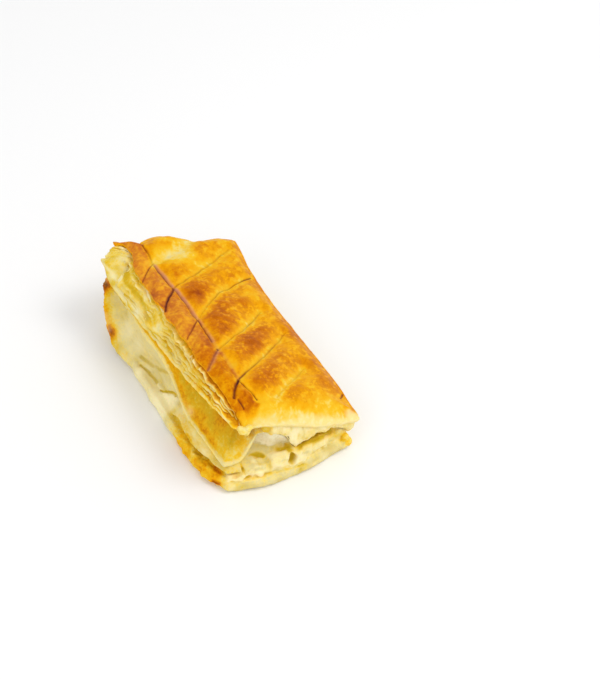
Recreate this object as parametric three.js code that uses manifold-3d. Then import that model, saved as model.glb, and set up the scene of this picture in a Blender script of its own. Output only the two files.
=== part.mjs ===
// Cheese puff pastry: a baked rectangle of laminated dough, tall and open on its left long side,
// low and folded on its right, with a scored golden crust on top and torn layers at both ends.
// Millimetres, +Z up. X runs across the pastry, Y along it, the cut front end facing -Y.
import * as THREE from "three";
import { mergeVertices } from "three/addons/utils/BufferGeometryUtils.js";
import Module from "manifold-3d";

const wasm = await Module();
wasm.setup();

// Plan of the dough, measured from the middle of the underside.
const HALF_WIDTH = 33;
const HALF_LENGTH = 60;
const CORNER_POWER = 8;
const CORNER_PULL = 2.4;
const BOX_CENTRE = [-0.61, -0.25];

// Heights of the crust along the tall left edge and the low right edge.
const TALL_EDGE = 45;
const TALL_FRONT_DROOP = 5.5;
const LOW_EDGE = 23.5;
const LOW_EDGE_RISE = 4;
const CRUST_THICKNESS = 3.2;
const EDGE_ROLL = 1.2;
const EDGE_ROLL_REACH = 0.06;

// Scoring of the crust: one long line beside the tall edge, and slanted cuts across the whole width.
const LONG_LINE_INSET = 10;
const CUT_SPACING = 20.2;
const CUT_SLANT = 0.76;
const CUT_START = 12;
const CUT_DEPTH = 1.2;
const CUT_HALF_WIDTH = 1.9;
const PUFF_HEIGHT = 1.5;
const PUFF_REACH = 5.5;
const PUFF_MARGIN = 0.1;

// Leaves of dough that fan out under the crust on the tall side.
const FAN_LEAVES = 4;
const FAN_THICKNESS = 1.9;
const FAN_ROOT_DEPTH = 9;
const FAN_RIPPLE = 0.9;

// The golden flap on the tall side, the pale sheet under it and the sheet the pastry stands on.
const FLAP_THICKNESS = 2;
const FLAP_HIGH = 29;
const FLAP_DROP = 15.5;
const PALE_THICKNESS = 2.4;
const PALE_FRONT_THICKNESS = 6;
const BASE_HEIGHT = 6.6;
const BASE_UNDERCUT = 2;
const LEAF_ROOT_DEPTH = 10;

// Pockets in the front end: centre and half sizes.
const POCKETS = [
  [[5.5, -61, 10.6], [2, 4, 2.8]],
  [[-9, -60.5, 12.4], [2.3, 3.5, 1.3]],
];
const POCKET_SIDES = 10;

// Meshing: cells across and along the crust, the core and the leaves.
const CRUST_CELLS = [24, 46];
const CORE_CELLS = [10, 18];
const LEAF_CELLS = [11, 21];
const STRAIGHT_STEPS = 1;
const CURVED_STEPS = 2;
const MESH_TOLERANCE = 0.1;

const lerp = (a, b, t) => a + (b - a) * t;
const bell = (x, at, spread) => Math.exp(-(((x - at) / spread) ** 2));
const ease = (t) => {
  const c = Math.min(Math.max(t, 0), 1);
  return c * c * (3 - 2 * c);
};

// 1 on the tall side, falling to 0 half way towards the middle of the pastry.
const leftShare = (p) => ease((-0.5 - p) / 0.5);

// Outlines: how far each of the four sides stands out from the plan, q along and p across, both -1 to 1.
const crustPlan = {
  left: (q) => -10.2 + 2.5 * q,
  right: (q) => 0.3 + 2.6 * bell(q, -0.7, 0.45) - 2.4 * bell(q, 0.45, 0.38) + 1.4 * bell(q, 1, 0.2),
  front: (p) => -1.6 + 2.4 * bell(p, 0.2, 0.7),
  back: (p) => -1 + 4.2 * bell(p, -1, 0.16) + 3.6 * bell(p, -0.2, 0.34),
};
const fanPlan = {
  left: (q) => -4.3 + 4.5 * q,
  right: (q) => crustPlan.right(q) - 0.3,
  front: (p) => crustPlan.front(p) - 0.6,
  back: (p) => crustPlan.back(p) - 0.8,
};
const flapPlan = {
  left: (q) => -3.4 + 2.8 * q,
  right: (q) => crustPlan.right(q) - 0.6,
  front: (p) => -5.5 - 2 * ease(p + 0.6),
  back: () => -3,
};
const basePlan = {
  corner: () => CORNER_PULL,
  left: (q) => 2.2 - 6.6 * bell(q, -1.05, 0.28),
  right: (q) => 0.2 + 0.5 * Math.sin(6 * q + 1),
  front: (p) => -0.8 + 4.6 * bell(p, -0.1, 0.75),
  back: (p) => 0.6 * Math.sin(5 * p),
};
const palePlan = {
  corner: (p) => (p > 0 ? CORNER_PULL : 0),
  left: (q) => -0.6 + 5 * bell(q, 0.7, 0.36) - 4.6 * bell(q, -1, 0.24),
  right: (q) => -0.8 + 0.6 * Math.sin(5 * q),
  front: (p) => basePlan.front(p) - 2.4 + 0.5 * Math.sin(9 * p),
  back: (p) => -1.2 + 0.8 * Math.sin(7 * p),
};
const corePlan = {
  corner: () => CORNER_PULL,
  left: (q) => -4.6 + 1.2 * q - 6.5 * ease((-0.1 - q) / 0.35),
  right: (q) => crustPlan.right(q) - 3,
  front: (p) => -6 - 4.5 * ease((-0.25 - p) / 0.4) + 2.2 * bell(p, 0.05, 0.16) + 1.6 * bell(p, 0.6, 0.2),
  back: () => -4.5,
};

// A point of the plan, drawn in by a margin all round; a plan may also round its four corners.
function place(plan, p, q, inset) {
  const x = lerp(inset - HALF_WIDTH - plan.left(q), HALF_WIDTH + plan.right(q) - inset, (p + 1) / 2);
  const y = lerp(inset - HALF_LENGTH - plan.front(p), HALF_LENGTH + plan.back(p) - inset, (q + 1) / 2);
  const pull = (plan.corner?.(p) ?? 0) * Math.abs(p * q) ** CORNER_POWER;
  return [x - Math.sign(p) * pull, y - Math.sign(q) * pull];
}

// Distance in millimetres from a point of the crust to the nearest scored line.
function scoreDistance(p, q) {
  const [x, y] = place(crustPlan, p, q, 0);
  const phase = (y - CUT_SLANT * x - CUT_START) / CUT_SPACING;
  const across = Math.abs(phase - Math.round(phase)) * CUT_SPACING / Math.hypot(1, CUT_SLANT);
  const along = Math.abs(x + HALF_WIDTH + crustPlan.left(q) - LONG_LINE_INSET);
  return Math.min(across, along);
}

// Height of the crust before scoring: level beside the tall edge, then falling to the low edge.
function crustLevel(p, q) {
  const tall = TALL_EDGE - TALL_FRONT_DROOP * bell(q, -1, 0.16) + bell(q, 1, 0.2);
  const low = LOW_EDGE + LOW_EDGE_RISE * q;
  const a = (p + 1) / 2;
  return lerp(tall, low, (a ** 1.7 + ease(a)) / 2);
}

function crustTop(p, q) {
  const d = scoreDistance(p, q);
  const inside = 1 - Math.max(Math.abs(p), Math.abs(q));
  const puff = PUFF_HEIGHT * (1 - bell(d, 0, PUFF_REACH)) * (1 - bell(inside, 0, PUFF_MARGIN));
  const cut = CUT_DEPTH * bell(d, 0, CUT_HALF_WIDTH);
  const roll = EDGE_ROLL * bell(inside, 0, EDGE_ROLL_REACH);
  return crustLevel(p, q) + puff - cut - roll;
}

const crustUnder = (p, q) => crustLevel(p, q) - CRUST_THICKNESS;

// A growing list of points and triangles that becomes one closed solid.
function startShell() {
  const points = [];
  const faces = [];
  return {
    add: (x, y, z) => points.push(x, y, z) / 3 - 1,
    quad: (a, b, c, d) => faces.push(a, b, c, a, c, d),
    solid: () => {
      const vertProperties = new Float32Array(points);
      const triVerts = new Uint32Array(faces);
      return new wasm.Manifold(new wasm.Mesh({ numProp: 3, vertProperties, triVerts }));
    },
  };
}

// The rim of a cell grid as [i, j] pairs, counter-clockwise from the front left corner.
function rimOf([across, along]) {
  const rim = [];
  for (let i = 0; i < across; i++) rim.push([i, 0]);
  for (let j = 0; j < along; j++) rim.push([across, j]);
  for (let i = across; i > 0; i--) rim.push([i, along]);
  for (let j = along; j > 0; j--) rim.push([0, j]);
  return rim;
}

const unit = (i, cells) => (2 * i) / cells - 1;

// A slab: an upper and a lower face on one grid, with rows of wall between them.
function slab(cells, plan, upper, lower, rows) {
  const shell = startShell();
  const [across, along] = cells;
  const face = (height, inset) => {
    const grid = [];
    for (let i = 0; i <= across; i++) {
      grid.push([]);
      for (let j = 0; j <= along; j++) {
        const p = unit(i, across);
        const q = unit(j, along);
        grid[i].push(shell.add(...place(plan, p, q, inset(p, q)), height(p, q)));
      }
    }
    return grid;
  };
  const top = face(upper, rows.topInset);
  const bottom = face(lower, () => rows.bottomInset);
  for (let i = 0; i < across; i++) {
    for (let j = 0; j < along; j++) {
      shell.quad(top[i][j], top[i + 1][j], top[i + 1][j + 1], top[i][j + 1]);
      shell.quad(bottom[i][j], bottom[i][j + 1], bottom[i + 1][j + 1], bottom[i + 1][j]);
    }
  }
  const rim = rimOf(cells);
  const courses = [rim.map(([i, j]) => bottom[i][j])];
  for (const [share, inset] of rows.between) {
    courses.push(rim.map(([i, j]) => {
      const p = unit(i, across);
      const q = unit(j, along);
      return shell.add(...place(plan, p, q, inset(p, q)), lerp(lower(p, q), upper(p, q), share));
    }));
  }
  courses.push(rim.map(([i, j]) => top[i][j]));
  for (let r = 0; r + 1 < courses.length; r++) {
    for (let k = 0; k < rim.length; k++) {
      const n = (k + 1) % rim.length;
      shell.quad(courses[r][k], courses[r][n], courses[r + 1][n], courses[r + 1][k]);
    }
  }
  return shell.solid();
}

// A leaf: a closed band of dough from its root inside the pastry out to its rim.
function leaf(plan, depth, rimHeight, rootHeight, thickness, sag, steps) {
  const shell = startShell();
  const rim = rimOf(LEAF_CELLS);
  const upper = [];
  const lower = [];
  for (const [i, j] of rim) {
    const p = unit(i, LEAF_CELLS[0]);
    const q = unit(j, LEAF_CELLS[1]);
    upper.push([]);
    lower.push([]);
    for (let s = 0; s <= steps; s++) {
      const t = s / steps;
      const [x, y] = place(plan, p, q, depth * (1 - t));
      const z = lerp(rootHeight(p, q), rimHeight(p, q), t) - sag * Math.sin(Math.PI * t);
      const half = 0.5 * thickness(p, q) * (1 - 0.35 * t);
      upper.at(-1).push(shell.add(x, y, z + half));
      lower.at(-1).push(shell.add(x, y, z - half));
    }
  }
  for (let k = 0; k < rim.length; k++) {
    const n = (k + 1) % rim.length;
    for (let s = 0; s < steps; s++) {
      shell.quad(upper[k][s], upper[k][s + 1], upper[n][s + 1], upper[n][s]);
      shell.quad(lower[k][s], lower[n][s], lower[n][s + 1], lower[k][s + 1]);
    }
    shell.quad(lower[k][steps], lower[n][steps], upper[n][steps], upper[k][steps]);
    shell.quad(lower[k][0], upper[k][0], upper[n][0], lower[n][0]);
  }
  return shell.solid();
}

// The crust, and the core of dough that everything grows out of.
const crust = slab(CRUST_CELLS, crustPlan, crustTop, crustUnder, {
  topInset: () => 0,
  bottomInset: 0.6,
  between: [],
});
const core = slab(CORE_CELLS, corePlan, (p, q) => crustLevel(p, q) - 1.6, () => 1, {
  topInset: (p) => lerp(-1.5, 8.5, leftShare(p)),
  bottomInset: 0,
  between: [
    [0.36, (p, q) => 0.6 * Math.sin(7 * p + 9 * q)],
    [0.64, (p, q) => lerp(-0.5, 1, leftShare(p)) + 0.6 * Math.sin(9 * p - 7 * q)],
    [0.84, (p) => lerp(-1, 4.5, leftShare(p))],
  ],
});

// How far down the tall side the fan of leaves reaches.
const fanFoot = (q) => 31.5 + 6 * bell(q, -0.9, 0.4) + 8 * bell(q, 1, 0.22) - 2 * bell(q, 0.62, 0.14);

function fanLeaf(index) {
  const t = (index + 1) / FAN_LEAVES;
  const out = t ** 0.8;
  const ripple = (p, q) => FAN_RIPPLE * Math.sin((5 + index) * q * 2.1 + index * 1.9 + 4 * p);
  const plan = {
    left: (q) => lerp(crustPlan.left(q), fanPlan.left(q), out) + 0.8 * Math.sin((9 + 2 * index) * q + index),
    right: (q) => fanPlan.right(q) - 0.8 * index + 0.6 * Math.sin((7 + index) * q + 2 * index),
    front: (p) => fanPlan.front(p) - 0.9 * index + 0.5 * Math.sin((8 + index) * p + index),
    back: (p) => fanPlan.back(p) - 0.9 * index + 0.6 * Math.sin((6 + index) * p + 3 * index),
  };
  const high = (p, q) => crustLevel(p, q) - CRUST_THICKNESS - 0.4;
  const foot = (p, q) => lerp(high(p, q) * 0.55, fanFoot(q), leftShare(p));
  const frontHold = (p, q) => 1 - 0.78 * ease((-q - 0.82) / 0.18) * (1 - leftShare(p));
  const rim = (p, q) => lerp(high(p, q), foot(p, q), t * frontHold(p, q)) + 0.5 * ripple(p, q);
  const root = (p, q) => Math.min(rim(p, q) + 2.5, high(p, q));
  return leaf(plan, FAN_ROOT_DEPTH, rim, root, () => FAN_THICKNESS, 0, STRAIGHT_STEPS);
}

// The golden flap hangs lowest at the front of the tall side and rises to the crust further back.
const flapFall = (p, q) => FLAP_DROP * ease((-0.02 - q) / 0.42) * ease((-0.45 - p) / 0.5);
const flapRim = (p, q) => Math.min(FLAP_HIGH - flapFall(p, q), crustLevel(p, q) - 11);
const flapRoot = (p, q) => Math.min(flapRim(p, q) + 14, crustLevel(p, q) - 4);
const flap = leaf(flapPlan, LEAF_ROOT_DEPTH, flapRim, flapRoot, () => FLAP_THICKNESS, -0.8, CURVED_STEPS);

// The pale sheet lies low along the tall side and curls up at the back left corner.
const paleRim = (p, q) => {
  const left = 3.4 + 20 * bell(q, 1, 0.2) + 7.5 * bell(q, -0.3, 0.2) + 6.5 * bell(q, -0.9, 0.45);
  return lerp(10.5 + 0.6 * Math.sin(8 * p + 6 * q), left, leftShare(p));
};
const paleRoot = (p, q) => lerp(12, Math.max(paleRim(p, q) + 4, 19), leftShare(p));
const paleThickness = (p) => lerp(PALE_FRONT_THICKNESS, PALE_THICKNESS, leftShare(p));
const pale = leaf(palePlan, LEAF_ROOT_DEPTH, paleRim, paleRoot, paleThickness, 1.6, CURVED_STEPS);

// The bottom sheet has a flat underside and a rounded rim.
const base = slab(CORE_CELLS, basePlan, () => BASE_HEIGHT, () => 0, {
  topInset: () => 1.6,
  bottomInset: BASE_UNDERCUT,
  between: [
    [0.35, () => 0],
    [0.75, (p, q) => 0.3 + 0.3 * Math.sin(11 * p + 13 * q)],
  ],
});

// A pocket: an egg-shaped hollow blown in the dough of the front end.
function pocket([x, y, z], [rx, ry, rz]) {
  const ball = new THREE.SphereGeometry(1, POCKET_SIDES, POCKET_SIDES / 2);
  const egg = mergeVertices(ball.deleteAttribute("normal").deleteAttribute("uv"));
  egg.scale(rx, ry, rz).translate(x, y, z);
  const vertProperties = new Float32Array(egg.attributes.position.array);
  const triVerts = new Uint32Array(egg.index.array);
  return new wasm.Manifold(new wasm.Mesh({ numProp: 3, vertProperties, triVerts }));
}

let body = core.add(crust).add(flap).add(pale).add(base);
for (let index = 0; index < FAN_LEAVES; index++) body = body.add(fanLeaf(index));
for (const [centre, radii] of POCKETS) body = body.subtract(pocket(centre, radii));

// Pockets that the leaves close off inside the dough are left solid: only the outer skin is kept.
const [skin] = body.simplify(MESH_TOLERANCE).decompose().sort((a, b) => b.volume() - a.volume());

const merged = skin.getMesh();
const geometry = new THREE.BufferGeometry();
geometry.setAttribute("position", new THREE.BufferAttribute(merged.vertProperties, 3));
geometry.setIndex(new THREE.BufferAttribute(merged.triVerts, 1));
geometry.translate(-BOX_CENTRE[0], -BOX_CENTRE[1], 0);
geometry.computeVertexNormals();

const bakedDough = new THREE.MeshStandardMaterial({ color: 0xe3a63c, roughness: 0.55, metalness: 0 });
const pastry = new THREE.Mesh(geometry, bakedDough);
pastry.name = "pastry";

const part = new THREE.Group();
part.add(pastry);
export default part;
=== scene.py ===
import math
from collections import namedtuple
from functools import partial

import bpy
import numpy as np
from mathutils import Matrix, Vector
from mathutils.bvhtree import BVHTree


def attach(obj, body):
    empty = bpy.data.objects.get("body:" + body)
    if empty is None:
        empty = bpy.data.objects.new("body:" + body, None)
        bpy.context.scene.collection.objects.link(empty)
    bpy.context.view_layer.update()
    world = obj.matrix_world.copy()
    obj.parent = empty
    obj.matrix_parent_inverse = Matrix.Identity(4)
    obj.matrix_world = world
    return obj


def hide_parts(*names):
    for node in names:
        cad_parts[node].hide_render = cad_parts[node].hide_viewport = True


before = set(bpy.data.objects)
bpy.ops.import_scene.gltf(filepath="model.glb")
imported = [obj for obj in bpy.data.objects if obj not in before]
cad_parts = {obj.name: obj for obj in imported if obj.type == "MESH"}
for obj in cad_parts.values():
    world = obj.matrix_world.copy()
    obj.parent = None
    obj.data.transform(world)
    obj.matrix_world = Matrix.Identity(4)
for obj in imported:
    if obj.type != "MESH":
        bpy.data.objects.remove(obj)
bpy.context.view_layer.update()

# Plan of the dough in millimetres, measured from the middle of the underside
HALF_WIDTH = 33
HALF_LENGTH = 60
CORNER_POWER = 8
CORNER_PULL = 2.4
BOX_CENTRE = np.array([-0.61, -0.25, 0.0])

# Heights of the crust along the tall left edge and the low right edge
TALL_EDGE = 45
TALL_FRONT_DROOP = 5.5
LOW_EDGE = 23.5
LOW_EDGE_RISE = 4
CRUST_THICKNESS = 2.8

# How far each edge of the crust rolls down, and over what distance
LEFT_ROLL = (0.7, 1.4)
RIGHT_ROLL = (1.8, 3.0)
FRONT_ROLL = (2.4, 3.4)
BACK_ROLL = (1.4, 2.6)

# Scoring: a long line beside the tall edge, in stretches from back to front, each with its start, end,
# width, darkness and painted mauve reflection
Stretch = namedtuple("Stretch", "start end width dark mauve")
LONG_LINE = (
    Stretch(62, 44, 0.6, 0.5, 0),
    Stretch(42, 26, 0.6, 0.6, 1),
    Stretch(24, 4, 0.6, 0.5, 1),
    Stretch(3, -13, 0.6, 0.8, 0.6),
    Stretch(-14, -37, 1, 0.15, 0.2),
    Stretch(-38, -49, 0.45, 0.75, 0),
)

# Cuts that cross the long line: where, then the branch to the left and the one to the right; the front
# cut has only the right one. A branch ends so far from the long line. It has a slope, a bow, a width, how
# dark its two ends are, how strong the painted mauve reflection beside it is, how pale the dough beside it
# is, and how far out it starts
Branch = namedtuple("Branch", "end slope bow width dark mauve halo start", defaults=(0, 0, 0))
CUTS = (
    (43, Branch(-9.5, 1.05, 0.6, 0.4, (0.7, 0.7)), Branch(29, 0.64, -2.6, 2, (0, 0), halo=1)),
    (24.5, Branch(-9, 1.38, 0.7, 0.65, (1, 1), 0.2), Branch(40, 0.68, -0.7, 0.6, (0.4, 0.4), halo=0.3)),
    (2.5, Branch(-9, 1.16, 0, 0.4, (0.65, 0.65)), Branch(41, 0.74, 4, 0.5, (0.1, 0.9), halo=0.5)),
    (-18.5, Branch(-9, 1.08, 0, 0.7, (0.5, 0.5), 0.7), Branch(34, 0.79, -1, 0.55, (0.4, 0.4), halo=0.8)),
    (-38, Branch(-6, 1.4, 0.8, 0.75, (1.7, 1.2)), Branch(38, 0.83, -1.3, 0.6, (0.7, 0.3), halo=0.6)),
    (-57, Branch(33, 0.83, 0, 0.6, (0.2, 0.2), halo=0.8, start=10)),
)
NICKS = (((-17, -47.8), (-16.5, -51.5)), ((32, -48), (35, -44.5)))
NICK_WIDTH = 0.45
NICK_DARK = 0.85
GROOVE_DEPTH = 0.85
HALO_REACH = 2.0
JUNCTION_DARK = 1.1
JUNCTION_REACH = 0.8
# The painted mauve reflection on the glossy side of each groove: its width and how far beside the line it
# lies
MAUVE_REFLECTION_WIDTH = 0.8
MAUVE_REFLECTION_OFFSET = 0.7
CUT_RUN = 0.75
TEXTURE_STRETCH = 1.6

# The cells between the cuts puff up, but not at the edge of the crust
PUFF_HEIGHT = 2.1
PUFF_REACH = 4.6
PUFF_MARGIN = 4.5
PUFF_WIDTH_SHARE = 0.88

# How brown the crust is: right of the long line, left of it and below its edge
CRUST_BAKE = 0.49
STRIP_BAKE = 0.6
EDGE_BAKE = 0.28

# Browner and paler patches of the crust: place, radius and how much browner
PATCHES = (
    (-6, 20, 7, 0.1), (-3, 0, 8, 0.08), (4, -13, 6, 0.12), (25, -6, 3, 0.12), (32, -7, 6, 0.08),
    (-12, 54, 5, 0.1), (18, 58, 6, 0.08), (-11, -48, 4, 0.1), (8, -50, 7, 0.12), (33, -43, 6, 0.06),
    (33, -54, 4, 0.14), (-3, 44, 6, -0.18), (3, 47, 5, -0.2), (-7, 49, 4, -0.14), (21, 20, 5, -0.08),
    (12, 3, 5, -0.08), (-8, -27, 4, -0.08), (-24, 23, 3, 0.14), (-20, -20, 3, 0.08), (-23, 15, 3, 0.18),
    (-13, -14, 3.2, 0.14), (-16, -45, 3, -0.08), (6, 37, 9, -0.1), (25, 48, 8, -0.06), (-20, 32, 3, 0.06),
    (-18, -4, 3, 0.06), (-4, 18, 3, 0.05), (6, -14, 3, 0.05),
)

# The fan: its leaves, and the swollen body between them
FAN_LEAVES = 6
FAN_THICKNESS = 0.8
FAN_BACK_SWELL = 0.9
FAN_FOOT_THICKNESS = 2.3
FAN_ROOT_DEPTH = 8
FRINGE = 2.2
BODY_CELLS = (30, 240)
BODY_ROWS = 22
BODY_RINGS = (0.02, 0.4, 0.8)
BODY_HEIGHT = 11
BODY_BULGE = 1.0
BODY_LUMPS = 1.1
BODY_WRINKLE = 0.7
BODY_RECESS = 4.0

# A creamy facet of the fan: middle, radii and how creamy
PALE_FACET = ((-29, 27, 34.4), (2.6, 6, 2), 0.5)

# The flap with its hem, the pale sheet, the base and the core
LEAF_ROOT_DEPTH = 10
FLAP_THICKNESS = 1.5
FLAP_HIGH = 29
FLAP_DROP = 15.5
FLAP_SAG = -0.8
FLAP_FRAY = 0.45
FLAP_SEED = 301
HEM_RADIUS = 0.85
HEM_STEPS = 180
HEM_TURNS = 12
PALE_THICKNESS = 2.0
PALE_FRONT_THICKNESS = 6
PALE_SAG = 1.6
PALE_FRAY = 0.7
PALE_SEED = 401
BASE_HEIGHT = 6.6
BASE_UNDERCUT = 2
CORE_BELOW_CRUST = 2.3

# The pale fibrous face below the crust at the front end: its torn lower edge, place across and height
FACE_LEFT = -10.5
FACE_DEPTH = 12
FACE_EDGE = (
    (-10.5, 26.5), (-3, 24.5), (1, 21.5), (2.5, 15.5), (4.5, 12.5),
    (8, 15), (12, 16.5), (19, 17), (27, 16), (33.5, 8),
)
FACE_CELLS = (150, 14)
FACE_ROWS = (0.96, 0.9, 0.82, 0.74, 0.66, 0.58, 0.5, 0.42, 0.34, 0.26, 0.18, 0.11, 0.05)

# The pale band along the foot of the cut front end
BAND_TOP = 13.0
BAND_FOOT = 5.6
BAND_CELLS = (110, 24)
BAND_ROWS = (0.93, 0.8, 0.65, 0.5, 0.35, 0.2)

# Rounded lumps, each with its middle and radii: the curled knob below the crust at the front, the lumps
# at the right front corner, and the fold of the pale sheet on the tall side
KNOB = (
    ((-19.6, -58.7, 36.2), (2.5, 1.5, 1.5)), ((-17.6, -58.9, 36.9), (2.0, 1.4, 1.2)),
    ((-20.9, -57.9, 36.8), (1.4, 1.6, 1.3)), ((-18.6, -59.0, 35.3), (1.6, 1.2, 1.0)),
)
CORNER_LUMPS = (((31.0, -57.6, 3.4), (2.4, 2.0, 2.6)), ((29.6, -58.4, 7.4), (1.8, 1.6, 2.2)))
FOLD = ((-27.6, -19.5, 7.4), (3.4, 12.0, 5.2))

# Open pockets of the front band: place across, height, half width, half height and depth
POCKETS = ((2, 10.2, 2.2, 3.2, 3.2), (-19.5, 10.5, 0.7, 1.3, 1.6))
POCKETS_END = -47

# Creases, slits and rims of the pale layers: course, width, groove depth, how much browner, how olive.
# In the fold, the hollows, the seam above the base, the slits, the gaps and the crease, the browner and
# olive shares are painted shade; on the gold rim, the seams of the base and the gold corners they are
# browned dough
Mark = namedtuple("Mark", "course width groove bake olive")
MARKS = {
    "upper fold of the pale sheet": Mark(
        ((-31, 23, 9.5), (-29, 17, 9.4), (-27.6, 10, 12.2), (-27.5, 0.5, 18.8)), 0.6, 0.9, 0, 0.8
    ),
    "hollow under the fan": Mark(((-29, 18, 12), (-28.4, 7, 16), (-28.6, -2, 17)), 2.6, 1.2, 0, 0.3),
    "seam above the base": Mark(((-32, 21, 6.5), (-30.5, 12, 7.5), (-30, 6.5, 7.5)), 0.55, 0.7, 0, 0.9),
    "slit after the seam": Mark(((-30.5, 2, 7), (-28, -5, 11.5), (-28, -7.5, 12.2)), 0.5, 0.8, 0.2, 1),
    "gold rim of the ear": Mark(((-34, 57, 22.5), (-36, 46, 11)), 2.6, 0, 0.14, 0),
    "front edge of the sheet": Mark(((-32, -28, 9.5), (-31, -37, 7), (-27, -53.5, 7.5)), 0.7, 0.4, 0.2, 0.2),
    "hollow below the fold": Mark(((-31.5, -13, 6.5), (-31.5, -24, 8.5)), 2.6, 0, 0.18, 0.7),
    "brown step of the base": Mark(((-27.5, -48, 7), (-27, -51.5, 6.5)), 1.6, 0, 0.3, 0),
    "dark nick of the base": Mark(((-31, -53, 3), (-30, -55, 3)), 1.1, 0.5, 0.6, 0),
    "seam of the base, left": Mark(((-25.5, -57, 7), (-20.5, -59, 7), (-8.5, -62, 7)), 0.9, 0.4, 0.26, 0),
    "seam of the base, right": Mark(((-8.5, -62, 7), (1.5, -62.5, 6), (7, -62.5, 5)), 0.5, 0.5, 0.06, 0.4),
    "gold end of the seam": Mark(((5.5, -62.5, 5), (8, -62.5, 4.5)), 1.4, 0, 0.16, 0),
    "gap left of the film": Mark(((-14, -53, 12), (-11.5, -54, 12), (-9.5, -55.5, 12)), 0.9, 1.2, 0.26, 1),
    "crease down the band": Mark(((-9, -57, 12.5), (-9, -61, 12), (-8.5, -61.5, 9.5)), 1, 0.7, 0.06, 0.5),
    "gap right of the film": Mark(((-2, -56, 13.5), (2, -57, 13.5), (2, -58.5, 13.5)), 1.5, 0.9, 0.28, 1),
    "slit above the band": Mark(((7.5, -59, 13.5), (14, -59, 14), (22, -58.5, 14)), 1.5, 1, 0.24, 1),
    "depth of that slit": Mark(((8, -57, 14), (22, -56.5, 14)), 2.4, 1, 0.28, 1),
    "olive end of the band": Mark(((24, -57.5, 12), (28, -57.5, 8)), 2.4, 0, 0.16, 0.5),
    "gold corner": Mark(((29.5, -58, 7), (31, -58, 3.5)), 2.6, 0, 0.1, 0.1),
}
MARK_SWAY = 0.35

# The lower part of the pale sheet stands out below a line along the side: place along it and height
LIP_LINE = ((-13, 13.5), (-8, 12.5), (-1, 9.5), (3, 8.5), (10, 8.5), (23, 7))
LIP_RISE = 0.9

# Cream-coloured places on the pale sheet and the hem: place, radius and how creamy
CREAM_SPOTS = (
    ((-31, 37, 14.4), 5, 0.5), ((-29.5, 27, 12.5), 4, 0.4), ((-34.2, 17, 7.2), 3.5, 0.85),
    ((-29, -17, 12.6), 3.5, 0.45), ((-27.5, -22, 15.6), 2.2, 0.35),
)

# Browner and paler spots on the side, the flap and the base: place, radius and how much browner
SPOTS = (
    ((-32.5, 56, 27), 3.2, 0.75), ((-34, 57.5, 22.5), 2.6, 0.35), ((-36, 43.5, 9), 3, 0.55),
    ((-32, -45, 5.5), 4, 0.1), ((-23, -57, 6), 3, 0.2), ((-28, -53.5, 5.5), 2.6, 0.2),
    ((-20.5, -39.6, 24.2), 4.5, 0.24), ((-25, -27.2, 19.2), 4, 0.12), ((-25.6, -33.4, 17.4), 4, 0.08),
    ((-26, -44, 15.6), 3.5, 0.12), ((-22.5, -48, 20), 4, -0.1), ((-24, -53, 17), 3.5, -0.1),
)

# Meshing
CRUST_CELLS = (180, 360)
UNDER_RINGS = (0.94, 0.8, 0.6, 0.3, 0.02)
CORE_CELLS = (70, 130)
LEAF_CELLS = (60, 250)
LEAF_STEPS = (0.0, 0.4, 0.62, 0.74, 0.83, 0.9, 0.95, 0.98, 1.0)
BLOB_TURNS = 24
BLOB_RINGS = 13
VOXEL = 0.4
CORE_SHOWS_FROM = 0.7
LAYER_TRIANGLES = 190000
PIECE_LOOKS = ("bake", "olive", "cream", "score", "mauve", "crust")


def lerp(a, b, t):
    return a + (b - a) * t


def bell(x, at, spread):
    return np.exp(-(((x - at) / spread) ** 2))


def unit(t):
    """A value cut off to the range from 0 to 1."""
    return np.clip(t, 0, 1)


def ease(t):
    """A smooth step from 0 to 1."""
    share = unit(t)
    return share * share * (3 - 2 * share)


def ramp(value, start, end):
    """A smooth step from 0 where a value is at the start to 1 where it is at the end, which may be lower."""
    return ease((value - start) / (end - start))


def lattice(i, j, k, seed):
    """A repeatable random number from -1 to 1 at each corner of a cubic lattice."""
    bits = (i * 73856093) ^ (j * 19349663) ^ (k * 83492791) ^ (seed * 40503 + 977)
    bits = ((bits ^ (bits >> 13)) * 1274126177) & 0x7FFFFFFF
    bits = ((bits ^ (bits >> 15)) * 668265263) & 0x7FFFFFFF
    return (bits ^ (bits >> 14)) % 65536 / 32767.5 - 1


def noise(x, y, z, size, seed):
    """Smooth random values from -1 to 1 with features of the given size."""
    places = [np.asarray(values, float) / size for values in np.broadcast_arrays(x, y, z)]
    cells = [np.floor(values).astype(np.int64) for values in places]
    shares = [ease(values - cell) for values, cell in zip(places, cells)]
    total = 0
    for corner in np.ndindex(2, 2, 2):
        across, along, up = (share if far else 1 - share for share, far in zip(shares, corner))
        total += across * along * up * lattice(*(cell + far for cell, far in zip(cells, corner)), seed)
    return total


def rough(x, y, z, size, octaves, seed):
    """Noise with finer and weaker noise added to it."""
    return sum(noise(x, y, z, size / 2**n, seed + n) / 2**n for n in range(octaves))


def near(points, centre, reach):
    """1 at a centre, falling to 0 away from it; the reach is one radius or one for each axis."""
    return bell(np.linalg.norm((points - np.array(centre)) / reach, axis=1), 0, 1)


def left_share(p):
    """1 on the tall side, falling to 0 half way towards the middle of the pastry."""
    return ramp(p, -0.5, -1)


def flat(value):
    """The same value at every place of a plan."""
    return lambda p, q=0: value + 0 * p


def wavy(middle, swing, along, across):
    """A value that waves about a middle one from place to place of a plan."""
    return lambda p, q: middle + swing * np.sin(along * q + across * p)


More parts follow.
